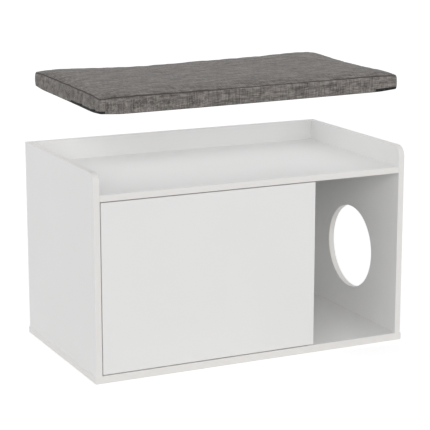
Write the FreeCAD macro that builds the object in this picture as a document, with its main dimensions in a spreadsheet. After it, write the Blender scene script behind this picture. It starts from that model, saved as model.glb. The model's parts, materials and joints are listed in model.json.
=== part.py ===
"""Bench cabinet for a cat litter tray, as a parametric FreeCAD document.

White melamine boards: a base board, two side panels that rise above the seat
board as a rim, a back panel of the same height and a divider. A flush door on
two concealed cup hinges closes the litter chamber, a push latch holds it, and
the bay beside it stays open. A round entrance is cut in the right side panel.
A loose boxed cushion belongs on the seat and is drawn lifted clear of it.

Millimetres. X runs to the right seen from the front, Y to the back, Z up.
The origin is on the floor, under the middle of the cabinet.
"""
import FreeCAD, Part
import math
import os

import Sketcher

Vector = FreeCAD.Vector

SIZES = {
    # carcass
    "cabinet_width": 800.0,        # over the two side panels
    "cabinet_depth": 450.0,
    "board": 15.0,                 # sides, seat, back and divider
    "base_board": 18.0,
    "base_overhang": 2.5,          # base board beyond each side panel
    "base_edge_break": 2.0,
    "chamber_height": 400.0,       # base board to the underside of the seat
    "rim_height": 50.0,            # side and back panels above the seat
    "rim_corner_radius": 25.0,     # front top corner of each side panel
    "edge_break": 0.8,             # eased edge of a banded board
    # openings for the cat
    "bay_width": 228.0,            # divider to right side panel
    "entrance_diameter": 210.0,
    "entrance_setback": 225.0,     # centre behind the cabinet's front
    "entrance_rise": 171.0,        # centre above the base board
    "passage_diameter": 210.0,
    "passage_setback": 225.0,
    "passage_rise": 171.0,
    # door
    "door_board": 15.0,
    "door_reveal": 2.0,            # gap on the hinge side, above and below
    "door_stop_gap": 2.0,          # door to the divider's front edge
    # knock-down fittings
    "cam_diameter": 15.0,
    "cam_height": 12.0,
    "cam_setback": 34.0,           # cam centre from the board's end
    "cam_slot": 1.8,               # for the screwdriver
    "cam_slot_depth": 2.0,
    "bolt_diameter": 5.0,
    "bolt_thread": 10.5,           # length screwed into the facing board
    "bolt_head_diameter": 7.0,
    "bolt_head": 3.0,
    "bolt_channel": 8.0,           # drilling that the bolt lies in
    "dowel_diameter": 8.0,
    "dowel_reach": 15.0,           # into the board's end
    "dowel_seat": 10.0,            # into the facing board
    "base_screw_diameter": 5.0,
    "base_screw_length": 46.0,
    "base_screw_head": 10.0,
    "base_screw_head_height": 4.0,
    "base_screw_recess": 0.6,      # head sunk below the underside
    "fitting_clearance": 0.1,      # round a fitting in its drilling
    "fitting_end_play": 0.5,       # from a fitting's end to its drilling's
    "fitting_sides": 10.0,         # facets of a fitting and its drilling
    "fitting_inset": 50.0,         # first fitting from a board's corner
    "dowel_pitch": 40.0,           # dowel beside a bolt
    "back_bolt_inset": 150.0,      # seat to back bolts from the seat's ends
    "back_fitting_rise": 80.0,     # side to back bolts from floor and seat
    # concealed hinges
    "hinge_inset": 90.0,           # hinge centre from the door's end
    "axis_depth": 7.2,             # hinge pin behind the front
    "cup_diameter": 34.8,
    "cup_depth": 11.5,
    "cup_wall": 1.0,
    "cup_edge": 4.0,               # door's edge to the cup's drilling
    "cup_bore": 35.0,
    "flange_diameter": 40.0,
    "flange_thickness": 1.2,
    "ear_radius": 6.0,
    "ear_spacing": 45.0,           # cup screws, centre to centre
    "ear_offset": 9.5,             # cup screws beyond the cup's centre
    "hinge_pin_diameter": 2.5,
    "pin_clearance": 0.05,
    "arm_eye_radius": 2.3,
    "arm_thickness": 2.4,
    "arm_width": 8.0,
    "arm_neck_offset": 14.3,       # hinge pin to the neck in the cup's mouth
    "arm_leg_rise": 2.0,           # the neck's foot behind the pin
    "arm_clear": 2.2,              # arm behind the swing of the door's edge
    "arm_rail_width": 11.0,        # arm on its mounting plate
    "arm_screw_setback": 60.0,     # screw that holds the arm on its plate
    "plate_setback": 52.0,         # plate screws behind the front
    "plate_screw_spacing": 32.0,
    "plate_wing_radius": 6.5,
    "plate_wing_thickness": 2.0,
    "plate_spine_length": 34.0,
    "plate_spine_width": 13.0,
    "plate_spine_height": 8.0,
    "hinge_screw_diameter": 3.5,
    "hinge_screw_length": 11.0,
    "hinge_screw_head": 7.0,
    "hinge_screw_head_height": 1.4,
    # push latch
    "latch_rise": 200.0,           # above the base board
    "latch_length": 76.0,
    "latch_width": 14.0,
    "latch_height": 14.0,
    "latch_wall": 2.6,
    "latch_setback": 4.0,          # housing behind the door's back
    "latch_flange_length": 22.0,
    "latch_flange_height": 36.0,
    "latch_flange_thickness": 2.5,
    "latch_screw_spacing": 24.0,
    "plunger_length": 44.0,
    "plunger_play": 0.3,
    "magnet_diameter": 6.0,
    "magnet_thickness": 2.0,
    "strike_diameter": 18.0,
    "strike_thickness": 1.2,
    "strike_gap": 0.3,
    # cushion
    "cushion_width": 762.0,
    "cushion_depth": 426.0,
    "cushion_height": 40.0,        # at the top seam
    "cushion_crown": 5.0,
    "cushion_crown_run": 90.0,     # seam to the level part of the top
    "cushion_corner": 12.0,
    "cushion_draw": 5.0,           # sides drawn in between the corners
    "cushion_bulge": 2.0,          # band stands out between its seams
    "cushion_rear_play": 4.0,      # cushion to back panel
    "cushion_rest_gap": 0.3,       # above the seat when it lies on it
    "cushion_lift": 174.0,         # how high it is drawn above the seat
    "zip_tape": 1.4,
    "base_fabric": 1.2,
    "zip_length": 320.0,
    "zip_width": 12.0,
    "zip_rise": 14.0,
}

NORMAL_SIGN = {"XY_Plane": 1, "XZ_Plane": -1, "YZ_Plane": 1}
CENTRE_POINT = 3                   # Sketcher's number for a circle's centre

doc = FreeCAD.newDocument("LitterCabinet")
sheet = doc.addObject("Spreadsheet::Sheet", "Sizes")
for row, (alias, value) in enumerate(SIZES.items(), start=1):
    sheet.set(f"A{row}", alias)
    sheet.set(f"B{row}", str(value))
    sheet.setAlias(f"B{row}", alias)
doc.recompute()


def dim(alias):
    """Expression that reads one size from the sheet."""
    return f"Sizes.{alias}"


def number(expression):
    """Present value of an expression."""
    return float(sheet.evalExpression(expression.replace("Sizes.", "")))


# ---------------------------------------------------------------- expressions
WIDTH = dim("cabinet_width")
DEPTH = dim("cabinet_depth")
BOARD = dim("board")
BASE = dim("base_board")
CHAMBER = dim("chamber_height")
CLEAR = dim("fitting_clearance")
END_PLAY = dim("fitting_end_play")
SIDE_HEIGHT = f"({CHAMBER} + {BOARD} + {dim('rim_height')})"
INNER_WIDTH = f"({WIDTH} - 2 * {BOARD})"
SEAT_DEPTH = f"({DEPTH} - {BOARD})"
MID_BOARD = f"({BOARD} / 2)"
SEAT_MIDDLE = f"({CHAMBER} + {MID_BOARD})"

LEFT_FACE = f"(-{WIDTH} / 2)"
LEFT_INNER = f"({LEFT_FACE} + {BOARD})"
RIGHT_INNER = f"({WIDTH} / 2 - {BOARD})"
FRONT = f"(-{DEPTH} / 2)"
BACK_INNER = f"({DEPTH} / 2 - {BOARD})"
SEAT_TOP = f"({BASE} + {CHAMBER} + {BOARD})"

DOOR_BOARD = dim("door_board")
REVEAL = dim("door_reveal")
DIVIDER_RIGHT = f"({RIGHT_INNER} - {dim('bay_width')})"
DIVIDER_LEFT = f"({DIVIDER_RIGHT} - {BOARD})"
DIVIDER_SETBACK = f"({DOOR_BOARD} + {dim('door_stop_gap')})"
DIVIDER_DEPTH = f"({SEAT_DEPTH} - {DIVIDER_SETBACK})"
DOOR_LEFT = f"({LEFT_INNER} + {REVEAL})"
DOOR_WIDTH = f"({DIVIDER_RIGHT} - {DOOR_LEFT})"
DOOR_HEIGHT = f"({CHAMBER} - 2 * {REVEAL})"
DOOR_BOTTOM = f"({BASE} + {REVEAL})"

CAM_SETBACK = dim("cam_setback")
INSET = dim("fitting_inset")
PITCH = dim("dowel_pitch")
BOLT_LENGTH = f"({CAM_SETBACK} + {dim('bolt_head')} / 2)"

CUP_INSET = f"({REVEAL} + {dim('cup_edge')} + {dim('cup_bore')} / 2)"
HINGE_RISES = {
    "lower": f"({REVEAL} + {dim('hinge_inset')})",
    "upper": f"({CHAMBER} - {REVEAL} - {dim('hinge_inset')})",
}


# -------------------------------------------------------------------- helpers
def set_down(item, place):
    """Places an object by its three expressions."""
    for axis, expression in zip("xyz", place):
        if expression != "0":
            item.setExpression(f"Placement.Base.{axis}", expression)


def new_body(name, x="0", y="0", z="0"):
    """A body named after its piece; it is set down when it is finished."""
    body = doc.addObject("PartDesign::Body", name)
    body.Label = name
    body.AllowCompound = True
    bodies[name] = (body, (x, y, z))
    return body


def new_group(name, x="0", y="0", z="0"):
    """A group of equal fittings, which make one piece."""
    groups[name] = ((x, y, z), [])
    return name


def new_sketch(body, name, plane, level="0"):
    """An empty sketch on one of the body's origin planes, moved to a level."""
    sketch = body.newObject("Sketcher::SketchObject", f"{body.Name}_{name}")
    support = [item for item in body.Origin.OriginFeatures if item.Role == plane]
    sketch.AttachmentSupport = (support[0], [""])
    sketch.MapMode = "FlatFace"
    if level != "0":
        sign = "" if NORMAL_SIGN[plane] > 0 else "-"
        sketch.setExpression("AttachmentOffset.Base.z", f"{sign}({level})")
    return sketch


def bind(sketch, kind, places, expression):
    """A dimension of the sketch that follows an expression."""
    value = number(expression)
    index = sketch.addConstraint(Sketcher.Constraint(kind, *places, value))
    sketch.setExpression(f"Constraints[{index}]", expression)


def place_point(sketch, geometry, corner, across, up):
    """Ties a point to the sketch's origin, along both axes."""
    for kind, axis, expression in (("DistanceX", -2, across), ("DistanceY", -1, up)):
        if expression == "0":
            sketch.addConstraint(Sketcher.Constraint("PointOnObject", geometry, corner, axis))
        else:
            bind(sketch, kind, (-1, 1, geometry, corner), expression)


def draw_circles(sketch, centres, diameter):
    """Equal circles at a list of (across, up) expressions."""
    for across, up in centres:
        centre = Vector(number(across), number(up), 0)
        circle = Part.Circle(centre, Vector(0, 0, 1), number(diameter) / 2)
        index = sketch.addGeometry(circle)
        place_point(sketch, index, CENTRE_POINT, across, up)
        bind(sketch, "Diameter", (index,), diameter)


def draw_rectangle(sketch, across, up, width, height):
    """A rectangle from its lower left corner."""
    left, low = number(across), number(up)
    right, high = left + number(width), low + number(height)
    corners = [Vector(left, low), Vector(right, low), Vector(right, high), Vector(left, high)]
    first = sketch.GeometryCount
    for index in range(4):
        sketch.addGeometry(Part.LineSegment(corners[index], corners[(index + 1) % 4]))
    for index in range(4):
        following = first + (index + 1) % 4
        sketch.addConstraint(Sketcher.Constraint("Coincident", first + index, 2, following, 1))
        flat = "Horizontal" if index % 2 == 0 else "Vertical"
        sketch.addConstraint(Sketcher.Constraint(flat, first + index))
    place_point(sketch, first, 1, across, up)
    bind(sketch, "DistanceX", (first, 1, first, 2), width)
    bind(sketch, "DistanceY", (first + 1, 1, first + 1, 2), height)


def grow(body, name, sketch, length, plane, to_plus=True):
    """Pads a sketch towards the plus or minus side of its plane's axis."""
    pad = body.newObject("PartDesign::Pad", f"{body.Name}_{name}")
    pad.Profile = sketch
    pad.setExpression("Length", length)
    pad.Reversed = to_plus != (NORMAL_SIGN[plane] > 0)
    sketch.Visibility = False
    return pad


def cut(body, name, sketch, length, plane, to_plus):
    """Pockets a sketch towards the plus or minus side of its plane's axis."""
    pocket = body.newObject("PartDesign::Pocket", f"{body.Name}_{name}")
    pocket.Profile = sketch
    pocket.setExpression("Length", length)
    pocket.Reversed = to_plus == (NORMAL_SIGN[plane] > 0)
    sketch.Visibility = False
    cuts.append((body, pocket))
    return pocket


def drill(body, name, plane, level, centres, diameter, depth, to_plus):
    """Equal round holes from one face of a board."""
    sketch = new_sketch(body, f"{name}_places", plane, level)
    draw_circles(sketch, centres, diameter)
    return cut(body, name, sketch, depth, plane, to_plus)


def pegs(body, name, plane, level, centres, diameter, length, to_plus):
    """Equal round pegs that start at one level."""
    sketch = new_sketch(body, f"{name}_places", plane, level)
    draw_circles(sketch, centres, diameter)
    return grow(body, name, sketch, length, plane, to_plus)


def on_plane(plane, across, up, level):
    """The point at two sketch coordinates and a level along the third axis."""
    order = {"XY_Plane": (across, up, level), "XZ_Plane": (across, level, up),
             "YZ_Plane": (level, across, up)}
    return Vector(*order[plane])


def bars(plane, level, centres, diameter, length, to_plus):
    """Equal many-sided bars from one level; the diameter is across the flats."""
    sides = int(number(dim("fitting_sides")))
    radius = number(diameter) / 2 / math.cos(math.pi / sides)
    start, reach = number(level), number(length) * (1 if to_plus else -1)
    made = []
    for across, up in centres:
        corners = []
        for side in range(sides + 1):
            angle = 2 * math.pi * (side + 0.5) / sides
            a = number(across) + radius * math.cos(angle)
            b = number(up) + radius * math.sin(angle)
            corners.append(on_plane(plane, a, b, start))
        made.append(Part.Face(Part.makePolygon(corners)).extrude(on_plane(plane, 0, 0, reach)))
    return made


def bore(body, plane, level, centres, diameter, depth, to_plus):
    """Drillings for fittings, faceted like the fittings."""
    drillings.setdefault(body.Name, []).extend(bars(plane, level, centres, diameter, depth, to_plus))


def studs(group, plane, level, centres, diameter, length, to_plus):
    """Fittings' bars, faceted to keep what repeats light."""
    groups[group][1].extend(bars(plane, level, centres, diameter, length, to_plus))


def ease(body, name, size, wanted):
    """Breaks the edges of the body's last feature that the test picks."""
    doc.recompute()
    tip = body.Tip
    names = [f"Edge{index}" for index, edge in enumerate(tip.Shape.Edges, start=1) if wanted(edge)]
    chamfer = body.newObject("PartDesign::Chamfer", f"{body.Name}_{name}")
    chamfer.Base = (tip, names)
    chamfer.setExpression("Size", size)
    return chamfer


def rectangular_board(name, place, plane, across, up, thickness):
    """A plain board, its lower left front corner at the given place."""
    body = new_body(name, *place)
    outline = new_sketch(body, "outline", plane)
    draw_rectangle(outline, "0", "0", across, up)
    grow(body, "board", outline, thickness, plane)
    return body


def along(edge, axis, value, tolerance=0.01):
    """True if the whole edge lies at one value of an axis."""
    box = edge.BoundBox
    low, high = {"x": (box.XMin, box.XMax), "y": (box.YMin, box.YMax), "z": (box.ZMin, box.ZMax)}[axis]
    return abs(low - value) < tolerance and abs(high - value) < tolerance


def runs(edge, axis):
    """True if the edge has its length along an axis."""
    box = edge.BoundBox
    lengths = {"x": box.XLength, "y": box.YLength, "z": box.ZLength}
    return lengths[axis] > 0.9 * box.DiagonalLength


def solid_piece(name, shape, *place):
    """A piece made with Part's own functions, placed by expressions."""
    piece = doc.addObject("Part::Feature", name)
    piece.Label = name
    piece.Shape = shape
    set_down(piece, place)
    return piece


bodies, groups, drillings, cuts = {}, {}, {}, []

# ------------------------------------------------- where the fittings are set
# Distances are taken from a board's front, its left end and its lower edge.
SEAT_BOLT_YS = [INSET, f"{SEAT_DEPTH} - {INSET}"]
SEAT_DOWEL_YS = [f"{INSET} + {PITCH}", f"{SEAT_DEPTH} - {INSET} - {PITCH}"]
BACK_BOLT_XS = [dim("back_bolt_inset"), f"{INNER_WIDTH} - {dim('back_bolt_inset')}"]
BACK_DOWEL_XS = [f"{dim('back_bolt_inset')} + {PITCH}",
                 f"{INNER_WIDTH} - {dim('back_bolt_inset')} - {PITCH}"]
BACK_BOLT_ZS = [dim("back_fitting_rise"), f"{CHAMBER} - {dim('back_fitting_rise')}"]
DIVIDER_BOLT_YS = [INSET, f"{DIVIDER_DEPTH} - {INSET}"]
DIVIDER_DOWEL_YS = [f"{INSET} + {PITCH}", f"{DIVIDER_DEPTH} - {INSET} - {PITCH}"]
SIDE_SCREW_YS = [INSET, f"{DEPTH} / 2", f"{DEPTH} - {INSET} - {BOARD}"]
BACK_MIDDLE = f"({DEPTH} - {MID_BOARD})"


def base_screw_places(left, front):
    """Base screws under the side, back and divider panels, from a corner."""
    rows = []
    for across in (f"{left} + {MID_BOARD}", f"{left} + {WIDTH} - {MID_BOARD}"):
        rows += [(across, f"{front} + {along_y}") for along_y in SIDE_SCREW_YS]
    rows += [(f"{left} + {BOARD} + {along_x}", f"{front} + {BACK_MIDDLE}") for along_x in BACK_BOLT_XS]
    divider = f"{left} + {WIDTH} / 2 + {DIVIDER_LEFT} + {MID_BOARD}"
    rows += [(divider, f"{front} + {DIVIDER_SETBACK} + {along_y}") for along_y in DIVIDER_BOLT_YS]
    return rows


SCREW_BORE = f"({dim('base_screw_diameter')} + 2 * {CLEAR})"
SCREW_REACH = f"({dim('base_screw_length')} + {dim('base_screw_recess')} - {BASE} + {END_PLAY})"
BOLT_BORE = f"({dim('bolt_diameter')} + 2 * {CLEAR})"
BOLT_SEAT = f"({dim('bolt_thread')} + {END_PLAY})"
DOWEL_BORE = f"({dim('dowel_diameter')} + 2 * {CLEAR})"
DOWEL_SEAT = f"({dim('dowel_seat')} + {END_PLAY})"
DOWEL_REACH = f"({dim('dowel_reach')} + {END_PLAY})"
CAM_BORE = dim("cam_diameter")
CAM_DEPTH = f"({dim('cam_height')} + {END_PLAY})"


# ---------------------------------------------------------------- side panels
def side_outline(body):
    """Side panel seen from the side, with its rounded front top corner."""
    sketch = new_sketch(body, "outline", "YZ_Plane")
    depth, height = number(DEPTH), number(SIDE_HEIGHT)
    radius = number(dim("rim_corner_radius"))
    sketch.addGeometry(Part.LineSegment(Vector(0, 0), Vector(depth, 0)))
    sketch.addGeometry(Part.LineSegment(Vector(depth, 0), Vector(depth, height)))
    sketch.addGeometry(Part.LineSegment(Vector(depth, height), Vector(radius, height)))
    turn = Part.Circle(Vector(radius, height - radius), Vector(0, 0, 1), radius)
    sketch.addGeometry(Part.ArcOfCircle(turn, math.pi / 2, math.pi))
    sketch.addGeometry(Part.LineSegment(Vector(0, height - radius), Vector(0, 0)))
    joins = [(0, 2, 1, 1), (1, 2, 2, 1), (4, 2, 0, 1)]
    for places in joins:
        sketch.addConstraint(Sketcher.Constraint("Coincident", *places))
    sketch.addConstraint(Sketcher.Constraint("Tangent", 2, 2, 3, 1))
    sketch.addConstraint(Sketcher.Constraint("Tangent", 3, 2, 4, 1))
    for line in (0, 2):
        sketch.addConstraint(Sketcher.Constraint("Horizontal", line))
    for line in (1, 4):
        sketch.addConstraint(Sketcher.Constraint("Vertical", line))
    sketch.addConstraint(Sketcher.Constraint("Coincident", 0, 1, -1, 1))
    bind(sketch, "DistanceX", (0, 1, 0, 2), DEPTH)
    bind(sketch, "DistanceY", (1, 1, 1, 2), SIDE_HEIGHT)
    bind(sketch, "Radius", (3,), dim("rim_corner_radius"))
    return sketch


def side_panel(name, x, inner, to_plus):
    """A side panel; inner is the level of its inner face, in its own frame."""
    body = new_body(name, x, FRONT, BASE)
    grow(body, "board", side_outline(body), BOARD, "YZ_Plane")
    height = number(SIDE_HEIGHT)
    depth = number(DEPTH)

    def rim_edge(edge):
        box = edge.BoundBox
        flat = along(edge, "x", 0) or along(edge, "x", number(BOARD))
        return flat and not along(edge, "z", 0) and not along(edge, "y", depth) and box.ZMax > height / 4

    ease(body, "rim_edges", dim("edge_break"), rim_edge)
    bore(body, "YZ_Plane", inner, [(y, SEAT_MIDDLE) for y in SEAT_BOLT_YS],
         BOLT_BORE, BOLT_SEAT, to_plus)
    bore(body, "YZ_Plane", inner, [(BACK_MIDDLE, z) for z in BACK_BOLT_ZS],
         BOLT_BORE, BOLT_SEAT, to_plus)
    bore(body, "YZ_Plane", inner, [(y, SEAT_MIDDLE) for y in SEAT_DOWEL_YS],
         DOWEL_BORE, DOWEL_SEAT, to_plus)
    bore(body, "XY_Plane", "0", [(MID_BOARD, y) for y in SIDE_SCREW_YS],
         SCREW_BORE, SCREW_REACH, True)
    return body


left_side = side_panel("left_side_panel", LEFT_FACE, BOARD, False)
plate_screws = [(dim("plate_setback"), f"{rise} {sign} {dim('plate_screw_spacing')} / 2")
                for rise in HINGE_RISES.values() for sign in "+-"]
bore(left_side, "YZ_Plane", BOARD, plate_screws,
     f"({dim('hinge_screw_diameter')} + 2 * {CLEAR})", dim("hinge_screw_length"), False)

right_side = side_panel("right_side_panel", RIGHT_INNER, "0", True)
drill(right_side, "entrance", "YZ_Plane", BOARD,
      [(dim("entrance_setback"), dim("entrance_rise"))],
      dim("entrance_diameter"), BOARD, False)
ease(right_side, "entrance_edges", dim("edge_break"),
     lambda edge: len(edge.Vertexes) == 1
     and abs(edge.BoundBox.ZLength - number(dim("entrance_diameter"))) < 1)

# ------------------------------------------------------- base, seat and back
base = rectangular_board("base_panel", (f"{LEFT_FACE} - {dim('base_overhang')}", FRONT, "0"),
                         "XY_Plane", f"({WIDTH} + 2 * {dim('base_overhang')})", DEPTH, BASE)
ease(base, "end_edges", dim("base_edge_break"),
     lambda edge: along(edge, "z", 0) != along(edge, "z", number(BASE)) and runs(edge, "y"))
base_places = base_screw_places(dim("base_overhang"), "0")
bore(base, "XY_Plane", "0", base_places, SCREW_BORE, BASE, True)
bore(base, "XY_Plane", "0", base_places,
     f"({dim('base_screw_head')} + 2 * {CLEAR})",
     f"({dim('base_screw_head_height')} + {dim('base_screw_recess')})", True)

seat = rectangular_board("seat_panel", (LEFT_INNER, FRONT, f"{BASE} + {CHAMBER}"),
                         "XY_Plane", INNER_WIDTH, SEAT_DEPTH, BOARD)
ease(seat, "front_edges", dim("edge_break"),
     lambda edge: along(edge, "y", 0) and runs(edge, "x"))
SEAT_CAMS = [(x, y) for x in (CAM_SETBACK, f"{INNER_WIDTH} - {CAM_SETBACK}") for y in SEAT_BOLT_YS]
REAR_CAMS = [(x, f"{SEAT_DEPTH} - {CAM_SETBACK}") for x in BACK_BOLT_XS]
bore(seat, "XY_Plane", "0", SEAT_CAMS + REAR_CAMS, CAM_BORE, CAM_DEPTH, True)
for side, level, to_plus in (("left", "0", True), ("right", INNER_WIDTH, False)):
    bore(seat, "YZ_Plane", level, [(y, MID_BOARD) for y in SEAT_BOLT_YS],
         dim("bolt_channel"), CAM_SETBACK, to_plus)
    bore(seat, "YZ_Plane", level, [(y, MID_BOARD) for y in SEAT_DOWEL_YS],
         DOWEL_BORE, DOWEL_REACH, to_plus)
bore(seat, "XZ_Plane", SEAT_DEPTH, [(x, MID_BOARD) for x in BACK_BOLT_XS],
     dim("bolt_channel"), CAM_SETBACK, False)
bore(seat, "XZ_Plane", SEAT_DEPTH, [(x, MID_BOARD) for x in BACK_DOWEL_XS],
     DOWEL_BORE, DOWEL_REACH, False)
DIVIDER_IN_SEAT = f"({DIVIDER_LEFT} + {MID_BOARD} - {LEFT_INNER})"
bore(seat, "XY_Plane", "0",
     [(DIVIDER_IN_SEAT, f"{DIVIDER_SETBACK} + {y}") for y in DIVIDER_BOLT_YS], BOLT_BORE, BOLT_SEAT, True)
bore(seat, "XY_Plane", "0",
     [(DIVIDER_IN_SEAT, f"{DIVIDER_SETBACK} + {y}") for y in DIVIDER_DOWEL_YS], DOWEL_BORE, DOWEL_SEAT, True)

back = rectangular_board("back_panel", (LEFT_INNER, BACK_INNER, BASE),
                         "XZ_Plane", INNER_WIDTH, SIDE_HEIGHT, BOARD)
ease(back, "rim_edges", dim("edge_break"),
     lambda edge: along(edge, "z", number(SIDE_HEIGHT)) and runs(edge, "x"))
BACK_CAMS = [(x, z) for x in (CAM_SETBACK, f"{INNER_WIDTH} - {CAM_SETBACK}") for z in BACK_BOLT_ZS]
bore(back, "XZ_Plane", BOARD, BACK_CAMS, CAM_BORE, CAM_DEPTH, False)
for side, level, to_plus in (("left", "0", True), ("right", INNER_WIDTH, False)):
    bore(back, "YZ_Plane", level, [(MID_BOARD, z) for z in BACK_BOLT_ZS],
         dim("bolt_channel"), CAM_SETBACK, to_plus)
bore(back, "XZ_Plane", "0", [(x, SEAT_MIDDLE) for x in BACK_BOLT_XS],
     BOLT_BORE, BOLT_SEAT, True)
bore(back, "XZ_Plane", "0", [(x, SEAT_MIDDLE) for x in BACK_DOWEL_XS],
     DOWEL_BORE, DOWEL_SEAT, True)
bore(back, "XY_Plane", "0", [(x, MID_BOARD) for x in BACK_BOLT_XS],
     SCREW_BORE, SCREW_REACH, True)

# -------------------------------------------------------------------- divider
divider = rectangular_board("divider_panel", (DIVIDER_LEFT, f"{FRONT} + {DIVIDER_SETBACK}", BASE),
                            "YZ_Plane", DIVIDER_DEPTH, CHAMBER, BOARD)
drill(divider, "passage", "YZ_Plane", BOARD,
      [(f"{dim('passage_setback')} - {DIVIDER_SETBACK}", dim("passage_rise"))],
      dim("passage_diameter"), BOARD, False)
ease(divider, "passage_edges", dim("edge_break"),
     lambda edge: len(edge.Vertexes) == 1
     and abs(edge.BoundBox.ZLength - number(dim("passage_diameter"))) < 1)
DIVIDER_CAMS = [(y, f"{CHAMBER} - {CAM_SETBACK}") for y in DIVIDER_BOLT_YS]
bore(divider, "YZ_Plane", "0", DIVIDER_CAMS, CAM_BORE, CAM_DEPTH, True)
bore(divider, "XY_Plane", CHAMBER, [(MID_BOARD, y) for y in DIVIDER_BOLT_YS],
     dim("bolt_channel"), CAM_SETBACK, False)
bore(divider, "XY_Plane", CHAMBER, [(MID_BOARD, y) for y in DIVIDER_DOWEL_YS],
     DOWEL_BORE, DOWEL_REACH, False)
bore(divider, "XY_Plane", "0", [(MID_BOARD, y) for y in DIVIDER_BOLT_YS],
     SCREW_BORE, SCREW_REACH, True)
LATCH_Y = f"({dim('latch_setback')} - {dim('door_stop_gap')} + {dim('latch_flange_length')} / 2)"
LATCH_SCREWS = [(LATCH_Y, f"{dim('latch_rise')} {sign} {dim('latch_screw_spacing')} / 2") for sign in "+-"]
bore(divider, "YZ_Plane", "0", LATCH_SCREWS,
     f"({dim('hinge_screw_diameter')} + 2 * {CLEAR})", dim("hinge_screw_length"), True)

# ----------------------------------------------------------------------- door
door = rectangular_board("door_panel", (DOOR_LEFT, FRONT, DOOR_BOTTOM),
                         "XZ_Plane", DOOR_WIDTH, DOOR_HEIGHT, DOOR_BOARD)
ease(door, "front_edges", dim("edge_break"), lambda edge: along(edge, "y", 0))
CUP_IN_DOOR = f"({CUP_INSET} - {REVEAL})"
DOOR_HINGE_ZS = [f"{rise} - {REVEAL}" for rise in HINGE_RISES.values()]
drill(door, "cup_bores", "XZ_Plane", DOOR_BOARD, [(CUP_IN_DOOR, z) for z in DOOR_HINGE_ZS],
      dim("cup_bore"), f"({dim('cup_depth')} + {END_PLAY})", False)
CUP_SCREWS = [(f"{CUP_IN_DOOR} + {dim('ear_offset')}", f"{z} {sign} {dim('ear_spacing')} / 2")
              for z in DOOR_HINGE_ZS for sign in "+-"]
bore(door, "XZ_Plane", DOOR_BOARD, CUP_SCREWS,
     f"({dim('hinge_screw_diameter')} + 2 * {CLEAR})", dim("hinge_screw_length"), False)
LATCH_X = f"({DIVIDER_LEFT} - {dim('latch_width')} / 2)"
STRIKE_PLACE = [(f"{LATCH_X} - {DOOR_LEFT}", f"{dim('latch_rise')} - {REVEAL}")]
bore(door, "XZ_Plane", DOOR_BOARD, STRIKE_PLACE,
     f"({dim('hinge_screw_diameter')} + 2 * {CLEAR})", dim("hinge_screw_length"), False)


# ----------------------------------------------------------- carcass fittings
def box_on(plane, across, up, level, width, height, reach):
    """A box from its lower left corner on a plane."""
    corner = on_plane(plane, across, up, min(level, level + reach))
    size = on_plane(plane, width, height, abs(reach))
    return Part.makeBox(size.x, size.y, size.z, corner)


def cam_group(name, place, plane, centres, slots, face="0", to_plus=True):
    """Cam discs set in one face of a board, each with its bolt slot cut open."""
    disc = f"({dim('cam_diameter')} - 2 * {CLEAR})"
    discs = bars(plane, face, centres, disc, dim("cam_height"), to_plus)
    turn = 1 if to_plus else -1
    channel_level = number(MID_BOARD) - turn * number(dim("bolt_channel")) / 2
    half, width = number(dim("cam_diameter")) / 3, number(dim("cam_slot"))
    made = []
    for cam, centre, slot in zip(discs, centres, slots):
        channel = box_on(plane, number(slot[0]), number(slot[1]), channel_level,
                         number(slot[2]), number(slot[3]), turn * number(dim("cam_height")))
        driver = box_on(plane, number(centre[0]) - half, number(centre[1]) - width / 2,
                        number(face), 2 * half, width, turn * number(dim("cam_slot_depth")))
        made.append(cam.cut(channel).cut(driver))
    solid_piece(name, Part.makeCompound(made), *place)


HALF_CHANNEL = f"({dim('bolt_channel')} / 2)"
SLOT_REACH = f"(0.55 * {dim('cam_diameter')})"   # past the cam's corners
SLOT_LENGTH = f"({SLOT_REACH} + {HALF_CHANNEL})"


def end_slots(centres):
    """Slots of cams near a board's left or right end, open towards that end."""
    slots = []
    for across, up in centres:
        start = SLOT_REACH if across == CAM_SETBACK else HALF_CHANNEL
        slots.append((f"{across} - {start}", f"{up} - {HALF_CHANNEL}", SLOT_LENGTH, dim("bolt_channel")))
    return slots


def far_slots(centres):
    """Slots of cams near a board's rear or upper edge, open towards that edge."""
    return [(f"{across} - {HALF_CHANNEL}", f"{up} - {HALF_CHANNEL}", dim("bolt_channel"), SLOT_LENGTH)
            for across, up in centres]


cam_group("seat_cam_locks", (LEFT_INNER, FRONT, f"{BASE} + {CHAMBER}"), "XY_Plane",
          SEAT_CAMS + REAR_CAMS, end_slots(SEAT_CAMS) + far_slots(REAR_CAMS))
cam_group("back_cam_locks", (LEFT_INNER, BACK_INNER, BASE), "XZ_Plane",
          BACK_CAMS, end_slots(BACK_CAMS), BOARD, False)
cam_group("divider_cam_locks", (DIVIDER_LEFT, f"{FRONT} + {DIVIDER_SETBACK}", BASE), "YZ_Plane",
          DIVIDER_CAMS, far_slots(DIVIDER_CAMS))


def bolt_row(group, plane, level, centres, to_plus):
    """Cam bolts: a stud from the facing board, and a head inside the cam."""
    thread = dim("bolt_thread")
    sign = "-" if to_plus else "+"
    studs(group, plane, f"{level} {sign} {thread}", centres, dim("bolt_diameter"),
          f"({thread} + {BOLT_LENGTH})", to_plus)
    sign = "+" if to_plus else "-"
    studs(group, plane, f"{level} {sign} ({BOLT_LENGTH} - {dim('bolt_head')})", centres,
          dim("bolt_head_diameter"), dim("bolt_head"), to_plus)


seat_bolts = new_group("seat_cam_bolts", LEFT_INNER, FRONT, f"{BASE} + {CHAMBER}")
bolt_row(seat_bolts, "YZ_Plane", "0", [(y, MID_BOARD) for y in SEAT_BOLT_YS], True)
bolt_row(seat_bolts, "YZ_Plane", INNER_WIDTH, [(y, MID_BOARD) for y in SEAT_BOLT_YS], False)
bolt_row(seat_bolts, "XZ_Plane", SEAT_DEPTH, [(x, MID_BOARD) for x in BACK_BOLT_XS], False)

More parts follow.
